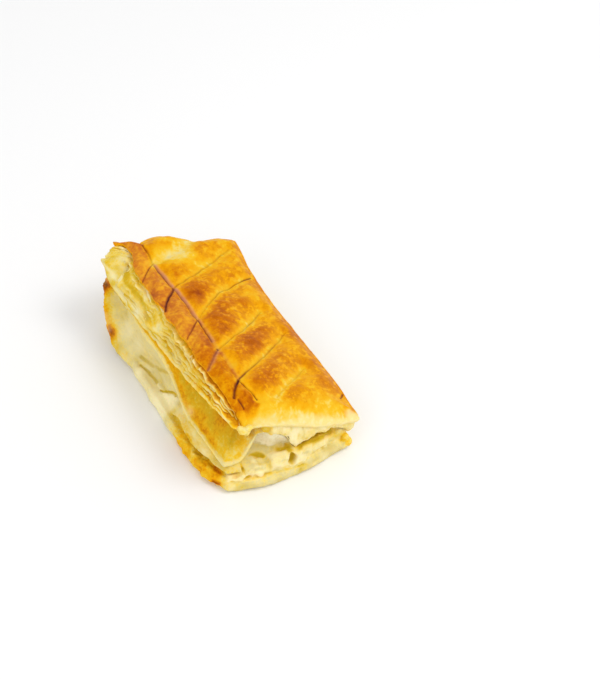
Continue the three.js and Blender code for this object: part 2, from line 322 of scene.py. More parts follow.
# Outlines: how far each side stands out from the plan, q along and p across, both -1 to 1,
# and how far the corners are drawn in
Plan = namedtuple("Plan", "left right front back corner")
CRUST_PLAN = Plan(
    left=lambda q: -10.2 + 2.5 * q + 0.7 * noise(60 * q, 0, 0, 6, 3) + 0.35 * noise(60 * q, 0, 0, 1.7, 4)
    - 4 * ramp(q, 0.55, 0.88) * (1 - ramp(q, 0.94, 0.99)),
    right=lambda q: 0.3 + 2.6 * bell(q, -0.7, 0.45) + bell(q, -1, 0.12) - 1.5 * bell(q, 0.45, 0.38)
    + 1.4 * bell(q, 1, 0.2),
    front=lambda p: -1.6 + 2.4 * bell(p, 0.2, 0.7) + 0.4 * noise(30 * p, 0, 0, 4, 5),
    back=lambda p: -0.5 + 4.2 * bell(p, -1, 0.16) - 1.6 * bell(p, -0.66, 0.12)
    + 3.6 * bell(p, -0.2, 0.34) + 2 * bell(p, 0.72, 0.22),
    corner=flat(0.3),
)
FLAP_PLAN = Plan(
    left=lambda q: -3.4 + 2.8 * q,
    right=lambda q: CRUST_PLAN.right(q) - 0.6,
    front=lambda p: -5.5 - 2 * ramp(p, -0.6, 0.4),
    back=flat(-3),
    corner=flat(0.4),
)
BASE_PLAN = Plan(
    left=lambda q: 2.2 - 5 * bell(q, -1.05, 0.28),
    right=lambda q: 0.2 + 0.5 * np.sin(6 * q + 1),
    front=lambda p: -0.8 + 4.6 * bell(p, -0.1, 0.75),
    back=lambda p: 0.6 * np.sin(5 * p),
    corner=lambda p: np.where(p > 0, 1.2, CORNER_PULL),
)
PALE_PLAN = Plan(
    left=lambda q: -0.6 + 5 * bell(q, 0.7, 0.36) + 0.8 * bell(q, 0.85, 0.25) - 4.6 * bell(q, -1, 0.24),
    right=lambda q: -0.8 + 0.6 * np.sin(5 * q),
    front=lambda p: BASE_PLAN.front(p) - 2.4 + 0.5 * np.sin(9 * p),
    back=lambda p: -1.2 + 0.8 * np.sin(7 * p),
    corner=lambda p: np.where(p > 0, CORNER_PULL, 1.2),
)
BAND_PLAN = Plan(
    left=flat(-6.5),
    right=flat(-2.2),
    front=lambda p: BASE_PLAN.front(p) - 1.5 + 0.6 * noise(30 * p, 0, 0, 5, 85),
    back=flat(-107),
    corner=flat(1),
)
CORE_PLAN = Plan(
    left=lambda q: -4.6 + 1.2 * q - 6.5 * ramp(q, -0.1, -0.45),
    right=lambda q: CRUST_PLAN.right(q) - 3,
    front=lambda p: -5 - 5 * ramp(p, -0.3, -0.7) + 1.4 * bell(p, 0.05, 0.16) + 0.8 * bell(p, 0.6, 0.2),
    back=flat(-4.5),
    corner=flat(CORNER_PULL),
)


def over_face(p):
    """The place across the crust that lies above a place of the front face."""
    return 0.2 + 0.8 * p


FACE_PLAN = Plan(
    left=flat(-HALF_WIDTH - FACE_LEFT),
    right=lambda q: CRUST_PLAN.right(-1 + 0 * q) - 0.8,
    front=lambda p: CRUST_PLAN.front(over_face(p)) - 0.8,
    back=flat(FACE_DEPTH - 2 * HALF_LENGTH),
    corner=flat(0.5),
)


def fan_plan(index):
    """The outline of one leaf of the fan, between the crust's edge and the foot of the fan."""
    share = ((index + 1) / FAN_LEAVES) ** 0.8
    drawn = 3.2 * index / FAN_LEAVES
    return Plan(
        left=lambda q: lerp(CRUST_PLAN.left(q), -4 + 4.5 * q + 0.2 * bell(q, 0.85, 0.2), share),
        right=lambda q: CRUST_PLAN.right(q) - 0.3 - 0.7 * drawn,
        front=lambda p: CRUST_PLAN.front(p) - 0.4 - 0.4 * drawn - 9 * ramp(p, -0.8, -0.55),
        back=lambda p: CRUST_PLAN.back(p) - 0.5 - 0.8 * drawn * ramp(p, -1, -0.5),
        corner=flat(1.2),
    )


def body_wrinkle(q, share, width):
    """Creases of the fan's body, along its side and at a share of its height, 0 to 1."""
    return bell(noise(9 * q, 1.7 * (BODY_HEIGHT * share), 0, 4.2, 176), 0, width)


def body_plan(share):
    """The outline of the fan's swollen body at a share of its height, from its foot up to the crust."""
    foot = fan_plan(FAN_LEAVES - 1)
    height = BODY_HEIGHT * share

    def left(q):
        lumps = noise(26 * q, 1.3 * height, 0, 5, 171) + 0.6 * noise(36 * q, 1.2 * height, 0, 2.3, 172)
        swell = BODY_BULGE + BODY_LUMPS * lumps - BODY_WRINKLE * body_wrinkle(q, share, 0.16)
        recess = BODY_RECESS * ramp(q, 0.12, -0.23)
        return lerp(foot.left(q), CRUST_PLAN.left(q), share) + math.sin(math.pi * share) * swell - recess

    return Plan(
        left=left,
        right=lambda q: foot.right(q) - 3,
        front=lambda p: foot.front(p) - 4,
        back=lambda p: lerp(foot.back(p), CRUST_PLAN.back(p), share) - 0.6 - 2.4 * ramp(p, -1, -0.7),
        corner=flat(1.2),
    )


def place(plan, p, q, inset):
    """A point of the plan, drawn in by a margin all round."""
    x = lerp(inset - HALF_WIDTH - plan.left(q), HALF_WIDTH + plan.right(q) - inset, (p + 1) / 2)
    y = lerp(inset - HALF_LENGTH - plan.front(p), HALF_LENGTH + plan.back(p) - inset, (q + 1) / 2)
    pull = plan.corner(p) * np.abs(p * q) ** CORNER_POWER
    return x - np.sign(p) * pull, y - np.sign(q) * pull


def crust_level(p, q):
    """Height of the crust before scoring: level beside the tall edge, then falling to the low edge."""
    tall = TALL_EDGE - TALL_FRONT_DROOP * bell(q, -1, 0.16) + bell(q, 1, 0.2)
    low = LOW_EDGE + LOW_EDGE_RISE * q
    across = (p + 1) / 2
    return lerp(tall, low, (across**1.7 + ease(across)) / 2)


def long_line(y):
    """Where the long scored line runs: it leans out at the back and turns in at the front."""
    return -12.2 - 2.7 * ramp(y, 5, 47) + 3 * ramp(y, -38, -50)


Line = namedtuple("Line", "course width dark mauve halo")


def scored_lines():
    """The course and the looks of every scored line."""
    lines = []
    for part in LONG_LINE:
        course = [(float(long_line(y)), y) for y in np.linspace(part.start, part.end, 4)]
        lines.append(Line(course, part.width, (part.dark, part.dark), part.mauve, 0))
    for at, *branches in CUTS:
        middle = float(long_line(at))
        for branch in branches:
            off = np.linspace(branch.start, branch.end, 7)
            bow = branch.bow * np.sin(np.pi * off / branch.end)
            course = list(zip(middle + off, at + branch.slope * off + bow))
            lines.append(Line(course, branch.width, branch.dark, branch.mauve, branch.halo))
    return lines + [Line(course, NICK_WIDTH, (NICK_DARK, NICK_DARK), 0, 0) for course in NICKS]


LINES = scored_lines()
Scoring = namedtuple("Scoring", "distance groove dark mauve halo")


def scoring(x, y):
    """The scored lines at a place: distance to the nearest, groove depth and the looks of the lines."""
    sway_x = x + 0.4 * noise(x, y, 0, 7, 11) + 0.14 * noise(x, y, 0, 2.2, 12)
    sway_y = y + 0.4 * noise(x, y, 5, 7, 13) + 0.14 * noise(x, y, 5, 2.2, 14)
    uneven = 0.75 + 0.35 * noise(x, y, 0, 5, 15)
    patchy = np.clip(0.85 + 0.6 * noise(x, y, 3, 3.2, 16), 0.3, 1.1)
    distance = 99 + 0 * x
    groove, dark, mauve, halo = 0 * x, 0 * x, 0 * x, 0 * x
    for line in LINES:
        steps = len(line.course) - 1
        depth = GROOVE_DEPTH * lerp(0.3, 1.0, max(*line.dark, line.mauve, line.halo))
        for n, ((x0, y0), (x1, y1)) in enumerate(zip(line.course[:-1], line.course[1:])):
            run_x, run_y = x1 - x0, y1 - y0
            share = unit(((sway_x - x0) * run_x + (sway_y - y0) * run_y) / (run_x**2 + run_y**2))
            off_x, off_y = sway_x - x0 - share * run_x, sway_y - y0 - share * run_y
            away = np.hypot(off_x, off_y)
            beside = np.hypot(off_x - MAUVE_REFLECTION_OFFSET, off_y)
            darkness = lerp(*line.dark, (n + share) / steps) * uneven
            distance = np.minimum(distance, away)
            groove = np.maximum(groove, depth * bell(away, 0, line.width))
            dark = np.maximum(dark, darkness * bell(away, 0, 0.75 * line.width))
            # Painted reflection: a mauve band on the glossy side of the groove, beside the line
            mauve = np.maximum(mauve, line.mauve * patchy * bell(beside, 0, MAUVE_REFLECTION_WIDTH))
            halo = np.maximum(halo, line.halo * bell(away, 0, HALO_REACH * math.sqrt(line.width)))
    for at, left, *_ in CUTS[:-1]:
        crossing = np.hypot(sway_x - long_line(at), sway_y - at)
        dark = np.maximum(dark, JUNCTION_DARK * left.width * bell(crossing, 0, JUNCTION_REACH))
    return Scoring(distance, groove, unit(dark), mauve, halo)


def crust_rolled(p, q):
    """Height of the crust with its edges rolled down."""
    x, y = place(CRUST_PLAN, p, q, 0)
    left, right = (place(CRUST_PLAN, side + 0 * p, q, 0)[0] for side in (-1.0, 1.0))
    front, back = (place(CRUST_PLAN, p, end + 0 * q, 0)[1] for end in (-1.0, 1.0))
    gaps = (x - left, right - x, y - front, back - y)
    drop = 0
    for gap, (depth, reach) in zip(gaps, (LEFT_ROLL, RIGHT_ROLL, FRONT_ROLL, BACK_ROLL)):
        drop = np.maximum(drop, depth * bell(gap, 0, reach))
    return crust_level(p, q) - drop


def crust_top(p, q):
    """Height of the crust with puffed cells, grooves and blisters."""
    x, y = place(CRUST_PLAN, p, q, 0)
    lines = scoring(x, y)
    inside = np.minimum((1 - np.abs(p)) * HALF_WIDTH * PUFF_WIDTH_SHARE, (1 - np.abs(q)) * HALF_LENGTH)
    puff = PUFF_HEIGHT * (1 - bell(lines.distance, 0, PUFF_REACH)) * (1 - bell(inside, 0, PUFF_MARGIN))
    blister = 0.42 * rough(x, y, 0, 7, 3, 21) + 0.045 * rough(x, y, 0, 1.6, 2, 31)
    return crust_rolled(p, q) + puff - lines.groove + blister


def along_cuts(x, y):
    """A place measured along and across the run of the cuts, for texture that is longer along them."""
    size = math.hypot(1, CUT_RUN)
    return (x + CUT_RUN * y) / size, TEXTURE_STRETCH * (y - CUT_RUN * x) / size


def crust_bake(x, y, lines):
    """How brown the top of the crust is at a place: most on the crests of the puffed cells."""
    run, across = along_cuts(x, y)
    warp_x = x + 1.6 * noise(run, across, 0, 6, 41) + 1.0 * noise(run, across, 0, 2.4, 42)
    warp_y = y + 1.6 * noise(run, across, 9, 6, 43) + 1.0 * noise(run, across, 9, 2.4, 44)
    strip = ramp(warp_x - long_line(y), 0.8, -0.8) * (1 - ramp(warp_y, -51, -58))
    crest = 1 - bell(lines.distance + 0.8 * noise(x, y, 0, 3, 45), 0, 3.2)
    middle = bell(warp_x, 1, 15) * ramp(warp_y, -52, -40) * ramp(warp_y, 50, 28)
    bake = CRUST_BAKE + 0.06 * crest + 0.12 * crest * middle + 0.06 * ramp(x, 24, 32)
    bake = lerp(bake, STRIP_BAKE - 0.02 * bell(y, 0, 14) + 0.04 * bell(y, -49, 7), strip)
    for at_x, at_y, radius, amount in PATCHES:
        bake += amount * bell(np.hypot(warp_x - at_x, warp_y - at_y), 0, radius)
    front = ramp(warp_y, -42, -58) * (1 - strip)
    rim = ramp(warp_y, -55.5, -59.5)
    bake = bake - 0.21 * front - 0.16 * rim - 0.1 * ramp(warp_y, 50, 60) * (1 - strip)
    flecks = ramp(rough(run, across, 0, 2, 3, 47), 0.2, 0.8) * ramp(x, -10, -2)
    strip_flecks = ramp(rough(x, y, 0, 1.3, 3, 53), 0.05, 0.55)
    bake = bake - 0.12 * flecks + strip * (0.02 - 0.065 * strip_flecks)
    uneven = 0.04 * rough(run, across, 0, 10, 2, 61) + 0.05 * rough(run, across, 0, 2.6, 3, 67)
    return bake - 0.18 * lines.halo + 0.22 * lines.dark + uneven


def crust_cream(x, y):
    """How creamy the crust is at a place: only along its front rim, and most at the right corner."""
    warp_y = y + 1.2 * noise(x, y, 0, 4, 48) + 0.8 * noise(x, y, 0, 1.6, 49)
    corner = ramp(x, 28, 31) * ramp(warp_y, -55.5, -58)
    return np.maximum(0.32 * ramp(warp_y, -57.5, -60.5), 0.5 * corner)


class Shells:
    """Closed shells of dough with the look of each point."""

    LOOKS = ("bake", "olive", "cream", "grain", "bubble", "mottle")

    def __init__(self):
        self.points = []
        self.quads = []
        self.looks = {name: [] for name in self.LOOKS}
        self.count = 0

    def add(self, points, quads, **looks):
        self.points.append(points)
        self.quads.append(quads + self.count)
        for name in self.LOOKS:
            values = np.broadcast_to(looks.get(name, 0.0), len(points))
            self.looks[name].append(values.astype(float))
        self.count += len(points)

    def joined(self):
        """The points, the quads and the looks of all shells."""
        looks = {name: np.concatenate(values) for name, values in self.looks.items()}
        return np.concatenate(self.points), np.concatenate(self.quads), looks


def rim_of(cells):
    """The rim of a cell grid as two index arrays, counter-clockwise from the front left corner."""
    across, along = cells
    i = [np.arange(across), np.full(along, across), np.arange(across, 0, -1), np.zeros(along, int)]
    j = [np.zeros(across, int), np.arange(along), np.full(across, along), np.arange(along, 0, -1)]
    return np.concatenate(i), np.concatenate(j)


def rim_places(cells):
    """The rim of a cell grid as places of a plan."""
    i, j = rim_of(cells)
    return 2 * i / cells[0] - 1, 2 * j / cells[1] - 1


def row_numbers(ring, rows):
    """Point numbers of rows that all have the same number of points."""
    return list(np.arange(rows * ring).reshape(rows, ring))


def strips(rows, turned=False):
    """Quads between neighbouring closed rows of point numbers."""
    quads = []
    for low, high in zip(rows[:-1], rows[1:]):
        ring = [low, np.roll(low, -1), np.roll(high, -1), high]
        quads.append(np.stack(ring[::-1] if turned else ring, 1))
    return np.concatenate(quads)


def filled(row):
    """Quads that fill a closed row of point numbers."""
    half, back = len(row) // 2, row[::-1]
    return np.stack([row[: half - 1], row[1:half], back[1:half], back[: half - 1]], 1)


def tube(ring, rows):
    """Quads round a stack of closed rows, with its two ends filled."""
    numbers = row_numbers(ring, rows)
    return np.concatenate([strips(numbers), filled(numbers[0])[:, ::-1], filled(numbers[-1])])


def slab(cells, plan, upper, lower, insets, rows):
    """A slab: an upper face on a grid, rows of wall below it, and a lower face of shrinking rings."""
    across, along = cells
    p, q = np.meshgrid(np.linspace(-1, 1, across + 1), np.linspace(-1, 1, along + 1), indexing="ij")
    number = np.arange(p.size).reshape(p.shape)
    x, y = place(plan, p, q, insets[0](p, q))
    points = [np.stack([x, y, upper(p, q) + 0 * x], -1).reshape(-1, 3)]
    corners = [number[:-1, :-1], number[1:, :-1], number[1:, 1:], number[:-1, 1:]]
    top = np.stack([c.ravel() for c in corners], 1)
    i, j = rim_of(cells)
    rim = p[i, j], q[i, j]
    walls = [(share, inset(*rim), 1.0) for share, inset in rows]
    under = [(0.0, insets[1](*rim), ring) for ring in (1.0, *UNDER_RINGS)]
    for share, inset, ring in walls + under:
        at = rim[0] * ring, rim[1] * ring
        x, y = place(plan, *at, inset)
        z = lerp(lower(*at), upper(*at), share) + 0 * x
        points.append(np.stack([x, y, z], 1))
    courses = [number[i, j], *(row + p.size for row in row_numbers(len(i), len(points) - 1))]
    bottom = filled(courses[-1])[:, ::-1]
    return np.concatenate(points), np.concatenate([top, strips(courses, turned=True), bottom])


def ruffled(x, y, seed):
    """How far a leaf's rim is torn in or out and lifted at a place, before its fray is applied."""
    torn = 0.7 * noise(x, y, 0, 13, seed) + 0.5 * noise(x, y, 0, 5, seed + 1)
    torn += 0.25 * noise(x, y, 0, 2, seed + 2)
    lifted = 0.9 * noise(x, y, 7, 11, seed + 3) + 0.45 * noise(x, y, 7, 4, seed + 4)
    return torn, lifted


def leaf(plan, depth, rim, root, thickness, sag, ruffle, seed):
    """A leaf: a closed band of dough from its root inside the pastry out to its ragged rim.

    With its points and quads come each point's place, its share of the way out and if it is on top.
    """
    p, q = rim_places(LEAF_CELLS)
    x, y = place(plan, p, q, 0)
    fray = ruffle(p, q)
    ragged, lift = (fray * amount for amount in ruffled(x, y, seed))
    upper, lower = [], []
    for t in LEAF_STEPS:
        x, y = place(plan, p, q, depth * (1 - t) - ragged * t)
        z = lerp(root(p, q), rim(p, q) + lift, t) - sag * math.sin(math.pi * t)
        half = 0.5 * thickness(p, q) * (1 - 0.3 * t) * math.sqrt(1 - (max(t - 0.8, 0) / 0.21) ** 2)
        upper.append(np.stack([x, y, z + half], 1))
        lower.append(np.stack([x, y, z - half], 1))
    steps, ring = len(LEAF_STEPS), len(p)
    rows = row_numbers(ring, 2 * steps)
    quads = strips(rows[:steps] + rows[steps:][::-1] + rows[:1], turned=True)
    shares = np.tile(np.repeat(LEAF_STEPS, ring), 2)
    above = np.repeat([1.0, 0.0], steps * ring)
    facts = (np.tile(p, 2 * steps), np.tile(q, 2 * steps), shares, above)
    return np.concatenate(upper + lower), quads, facts


def fan_foot(q):
    return 31.5 + 6 * bell(q, -0.9, 0.4) + 6.5 * bell(q, 1, 0.2) - 1.5 * bell(q, 0.62, 0.14)


def fan_high(p, q):
    return crust_level(p, q) - CRUST_THICKNESS - 0.2


def fringe(q):
    """Where torn bits of the top leaf stand up along the crust's edge, 0 to 1."""
    return unit(noise(60 * q, 0, 0, 1.4, 181) + 0.3) * bell(q, -0.3, 0.28)


def add_fan_leaf(shells, index):
    """One leaf of the fan: the top one has a torn fringe, and the lowest is thick and rolled."""
    share = (index + 1) / FAN_LEAVES
    rolled = index == FAN_LEAVES - 1
    thick = FAN_FOOT_THICKNESS if rolled else FAN_THICKNESS

    def rim(p, q):
        high = fan_high(p, q)
        foot = lerp(high * 0.52, fan_foot(q), left_share(p))
        return lerp(high, foot, share) + (FRINGE * fringe(q) * left_share(p) if index == 0 else 0)

    def root(p, q):
        return np.minimum(rim(p, q) + 2.5, fan_high(p, q))

    def thickness(p, q):
        swell = 0.6 + 0.9 * noise(60 * q, 40 * p, 9 * index, 5, 131)
        return thick + FAN_BACK_SWELL * swell * ramp(q, 0.05, 0.45) * left_share(p)

    def ruffle(p, q):
        return lerp(0.8, 0.6 if rolled else 1.15 - 0.5 * ramp(q, 0.6, 0.8), left_share(p))

    points, quads, (p, q, t, above) = leaf(
        fan_plan(index), FAN_ROOT_DEPTH, rim, root, thickness, 0, ruffle, 100 + 17 * index
    )
    x, y, z = points.T
    left = left_share(p)
    front = ramp(q, -0.05, -0.55)
    back = left * ramp(q, 0.05, 0.45)
    # The share of each leaf near its rim; the rest of the leaf, which shows only in the gap below the leaf
    # above, gets painted shade: it is browner and olive.
    edge = ease((t - lerp(0.76, 0.8, front) - 0.05 * ramp(q, -0.5, -0.75)) / lerp(0.2, 0.14, front))
    edge *= 0.85 + 0.3 * noise(x, y, z, 4, 135)
    edge = np.maximum(edge, 0.7 * left * ramp(q, 0.7, 0.85))
    bake = lerp(lerp(0.32, 0.66, front), lerp(0.17, 0.14, front), edge)
    bake = lerp(lerp(0.34, 0.22, edge), bake, left)
    under_foot = left * rolled * (1 - above) * bell(t, 0.95, 0.12)
    bake = bake + 0.28 * under_foot - 0.05 * rolled * left * above
    streak = noise(1.3 * x, y / 2.5, 1.3 * z, 1.8, 137) + 0.5 * noise(x, y, z, 3.5, 138)
    bake += 0.09 * streak * back
    olive = (1 - edge) * lerp(0.6, lerp(0.55, 0.25, front), left)
    olive = unit(olive + 0.5 * back * unit(streak))
    cream = left * unit(0.1 * front - 1.3 * streak) * lerp(0.3 * edge, 0.5, back)
    if index == 0:
        cream = np.maximum(cream, 0.9 * left * bell(t, 1, 0.1) * fringe(q))
    shells.add(points, quads, bake=bake, olive=olive, cream=cream)


def add_fan_body(shells):
    """The swollen dough between the leaves: it fills the back half and lies deep in the front half."""
    rim_p, rim_q = rim_places(BODY_CELLS)
    rows = [(0.0, ring) for ring in BODY_RINGS]
    rows += [(share, 1.0) for share in np.linspace(0, 1, BODY_ROWS)]
    rows += [(1.0, ring) for ring in BODY_RINGS[::-1]]
    points = []
    for share, ring in rows:
        p, q = rim_p * ring, rim_q * ring
        x, y = place(body_plan(share), p, q, 0)
        foot = lerp(fan_high(p, q) * 0.6, fan_foot(q) - 0.4, left_share(p))
        points.append(np.stack([x, y, lerp(foot, fan_high(p, q), share)], 1))
    points = np.concatenate(points)
    x, y, z = points.T
    front = ramp(y, 2, -20)
    shares = np.array([share for share, _ in rows]).repeat(len(rim_p))
    # Painted shade in the creases of the body: they are browner and olive, and not creamy.
    wrinkle_shade = body_wrinkle(np.tile(rim_q, len(rows)), shares, 0.2)
    pale = 0.8 * noise(x, y / 2, z, 4.5, 174) + 0.9 * noise(1.2 * x, y / 2.2, 1.2 * z, 1.8, 175)
    bake = lerp(0.2 - 0.12 * pale + 0.2 * wrinkle_shade, 0.6, front)
    olive = lerp(np.clip(0.8 * wrinkle_shade - 0.35 * pale, 0, 0.85), 0.2, front)
    cream = 0.65 * ramp(pale, 0.2, 0.7) * ramp(y, 6, 22) * (1 - wrinkle_shade)
    shells.add(points, tube(len(rim_p), len(rows)), bake=bake, olive=olive, cream=cream)


def face_edge(x):
    """Height of the torn lower edge of the front face."""
    at, heights = np.array(FACE_EDGE).T
    return np.interp(x, at, heights) + 0.7 * noise(x, 0, 0, 3.5, 141) + 0.5 * noise(x, 0, 0, 1.2, 142)


def add_front_face(shells):
    """The pale face below the crust at the front end, right of the knob."""
    def upper(p, q):
        along = -1 + (q + 1) * FACE_DEPTH / (2 * HALF_LENGTH)
        return crust_rolled(over_face(p), along) - 0.6 * CRUST_THICKNESS

    def lower(p, q):
        x, _ = place(FACE_PLAN, p, q, 0)
        return np.minimum(face_edge(x), upper(p, q) - 3)

    def wall(share):
        def inset(p, q):
            fibres = 0.35 * noise(22 * p, 3 * share, 6 * q, 0.9, 143)
            fibres += 0.6 * noise(22 * p, 5 * share, 6 * q, 3, 144)
            return 0.3 + fibres + 1.4 * (1 - share) ** 6 + 1.1 * bell(share, 0.97, 0.06)
        return inset

    walls = [(share, wall(share)) for share in FACE_ROWS]
    points, quads = slab(FACE_CELLS, FACE_PLAN, upper, lower, (wall(1.0), wall(0.0)), walls)
    x, y, z = points.T
    fibres = noise(x, y / 3, z / 5, 1.1, 145)
    high = ramp(z - face_edge(x), 5, 13)
    blotches = noise(x, y, z, 3.6, 146) + 0.6 * noise(x, y, z, 1.6, 147)
    # Towards the knob the face is browner and olive: painted shade in the recess under the crust there.
    gold = ramp(x, -5, -8)
    streaks = unit(noise(1.8 * x, y, z / 3, 1.2, 148) - 0.2)
    bake = 0.16 + 0.05 * fibres + 0.08 * high * blotches + 0.06 * ramp(x, 18, 28) * high
    olive = unit(0.35 * unit(-blotches - 0.2) * high + 0.4 * gold + 0.45 * streaks)
    cream = np.clip(0.35 + 0.4 * blotches + 0.35 * bell(x, 4, 7) - 0.6 * streaks, 0, 0.9) * (1 - gold)
    shells.add(points, quads, bake=bake + 0.14 * gold, olive=olive, cream=cream)


def flap_rim(p, q):
    fall = FLAP_DROP * ramp(q, -0.02, -0.44) * ramp(p, -0.42, -0.8)
    return np.minimum(FLAP_HIGH - fall, crust_level(p, q) - 11)


def flap_root(p, q):
    return np.minimum(flap_rim(p, q) + 14, crust_level(p, q) - 4)


def add_flap(shells):
    """The golden flap that hangs at the front of the tall side."""
    points, quads, (p, q, t, above) = leaf(
        FLAP_PLAN, LEAF_ROOT_DEPTH, flap_rim, flap_root,
        flat(FLAP_THICKNESS), FLAP_SAG, flat(FLAP_FRAY), FLAP_SEED,
    )
    x, y, z = points.T
    hanging = left_share(p) * ramp(q, 0.7, 0.4)
    mottle = noise(x, y, z, 3.2, 311) + 0.7 * noise(x, y, z, 1.5, 312)
    low_corner = bell(q, -0.9, 0.12) * ramp(t, 0.6, 0.9) * hanging
    bake = 0.18 + (0.24 + 0.05 * mottle) * hanging * above - 0.16 * low_corner
    bake = bake + hanging * (0.18 * bell(t, 0.9, 0.03) - 0.2 * ramp(t, 0.94, 0.98))
    # Painted shade: the top of the hanging flap is olive, most towards its root under the fan.
    olive = hanging * above * lerp(0.3, 1.0, ramp(t, 0.86, 0.61)) * (0.85 + 0.35 * mottle)
    shells.add(points, quads, bake=bake, olive=unit(olive), grain=0.16, mottle=1.0)


def add_hem(shells):
    """The pale rolled edge of the flap, along its open left side and round its lower front end."""
    side = np.linspace(0.55, -1, HEM_STEPS)
    end = np.linspace(-1, -0.5, HEM_STEPS // 4)[1:]
    p = np.concatenate([np.full(HEM_STEPS, -1.0), end])
    q = np.concatenate([side, np.full(len(end), -1.0)])
    x, y = place(FLAP_PLAN, p, q, 0)
    torn, lifted = ruffled(x, y, FLAP_SEED)
    x, y = place(FLAP_PLAN, p, q, -FLAP_FRAY * torn)
    path = np.stack([x, y, flap_rim(p, q) + FLAP_FRAY * lifted - 0.2], 1)
    ends = ramp(q, 0.6, 0.3) * ramp(p, -0.45, -0.65)
    radius = HEM_RADIUS * (0.9 + 0.3 * noise(x, y, 0, 6, 315)) * ends
    ahead = np.gradient(path, axis=0)
    ahead = ahead / np.linalg.norm(ahead, axis=1)[:, None]
    out = np.cross(ahead, (0, 0, 1))
    out = out / np.linalg.norm(out, axis=1)[:, None]
    up = np.cross(out, ahead)
    turns = np.linspace(0, 2 * np.pi, HEM_TURNS, endpoint=False)
    rows = [
        path[n] + radius[n] * (np.outer(np.cos(turns), out[n]) + 1.2 * np.outer(np.sin(turns), up[n]))
        for n in range(len(path))
    ]
    shells.add(np.concatenate(rows), tube(HEM_TURNS, len(rows)), bake=0.13, grain=0.1)


def pale_rim(p, q):
    left = 3.4 + 17.5 * bell(q, 1, 0.2) + 6.5 * bell(q, -0.36, 0.15) + 6.5 * bell(q, -0.9, 0.45)
    ear = 11 * bell(q, 1, 0.07) * bell(p, -0.86, 0.16)
    return lerp(10.5 + 0.6 * np.sin(8 * p + 6 * q), left, left_share(p)) + ear


def pale_root(p, q):
    return lerp(12.0, np.maximum(pale_rim(p, q) + 4, 19), left_share(p))


def pale_thickness(p, q):
    return lerp(PALE_FRONT_THICKNESS, PALE_THICKNESS, left_share(p))


def add_pale(shells):
    """The pale sheet that lies low along the tall side and curls up at the back left corner."""
    points, quads, (p, q, t, _) = leaf(
        PALE_PLAN, LEAF_ROOT_DEPTH, pale_rim, pale_root, pale_thickness, PALE_SAG, flat(PALE_FRAY), PALE_SEED
    )
    left = left_share(p)
    lip = left * bell(q, 0.85, 0.28) * bell(t, 1, 0.26)
    bake = 0.02 + 0.3 * lip + 0.05 * left * bell(t, 1, 0.3) + 0.12 * left * ramp(q, -0.2, -0.4)
    patches = noise(*points.T, 6, 403) + 0.5 * noise(*points.T, 2.5, 404)
    cream = 0.9 * left * unit(patches - 0.1)
    # The olive over the whole sheet is partly its greenish tone and partly painted shade under the fan; its
    # patches are random.
    olive = 0.16 + 0.5 * left * unit(-patches - 0.1)
    shells.add(points, quads, bake=bake, olive=olive, cream=cream, grain=0.36)


def add_band(shells):
    """The pale band along the foot of the cut front end."""
    def top(p, q):
        x, y = place(BAND_PLAN, p, q, 0)
        ends = 4.5 * ramp(p, -0.55, -0.95) + 1.8 * ramp(p, 0.7, 1)
        lip = 1.6 * ramp(x, 5, 9) * ramp(x, 28, 24)
        return BAND_TOP + lip - ends + 0.9 * rough(x, y, 0, 6, 2, 86)

    def wall(share):
        bulge = 0.5 - 0.3 * math.sin(math.pi * share)
        return lambda p, q: bulge + 0.8 * rough(33 * p, 9 * share, 3 * q, 3.4, 2, 88)

    walls = [(share, wall(share)) for share in BAND_ROWS]
    points, quads = slab(BAND_CELLS, BAND_PLAN, top, flat(BAND_FOOT), (flat(1.4), flat(0.8)), walls)
    x, y, z = points.T
    bake = 0.1 + 0.06 * noise(x, y, z, 4, 89)
    olive = 0.7 * unit(noise(x, y, z, 2.6, 90) + 0.3 * noise(x, y, z, 1.3, 92))
    cream = np.clip(0.42 + 0.6 * noise(x, y, z, 3.2, 91), 0, 0.85)
    shells.add(points, quads, bake=bake, olive=olive, cream=cream, grain=0.4, mottle=0.4)


def add_base(shells):
    """The bottom sheet with its flat underside and its browned rim at the front left."""
    walls = (
        (0.85, wavy(0.8, 0.3, 19, 13)), (0.6, wavy(0.3, 0.4, 31, 7)),
        (0.35, wavy(0, 0.4, 23, 9)), (0.12, flat(0.7)),
    )
    insets = (flat(1.6), flat(BASE_UNDERCUT))
    points, quads = slab(CORE_CELLS, BASE_PLAN, flat(BASE_HEIGHT), flat(0), insets, walls)
    x, y, z = points.T
    front = ramp(y, -54, -58)
    side = ramp(x, -25, -31) * ramp(y, -12, -28)
    seam = front * bell(z, 0.85 * BASE_HEIGHT, 0.9) * ramp(x, 16, -2)
    end = front * (1 - side) * (1 - seam)
    patches = noise(x, y, z, 3.4, 95) + 0.6 * noise(x, y, z, 1.6, 96)
    hidden = np.maximum(ramp(x, 26, 31) * ramp(y, -54, -46), ramp(y, 50, 56)) * ramp(z, 5, 1)
    bake = 0.03 + (0.38 + 0.16 * patches) * side + 0.1 * seam * (1 - side) + (0.16 + 0.12 * patches) * hidden
    cream = end * np.clip(0.1 + 0.6 * noise(x, y, z, 3.6, 99), 0, 0.8)
    olive = end * np.clip(0.3 + 0.8 * noise(x, y, z, 2.6, 100), 0, 0.9) + 0.12 * side
    mottle = 0.4 + 0.4 * side
    shells.add(points, quads, bake=bake, olive=olive, cream=cream, grain=0.3, bubble=side, mottle=mottle)


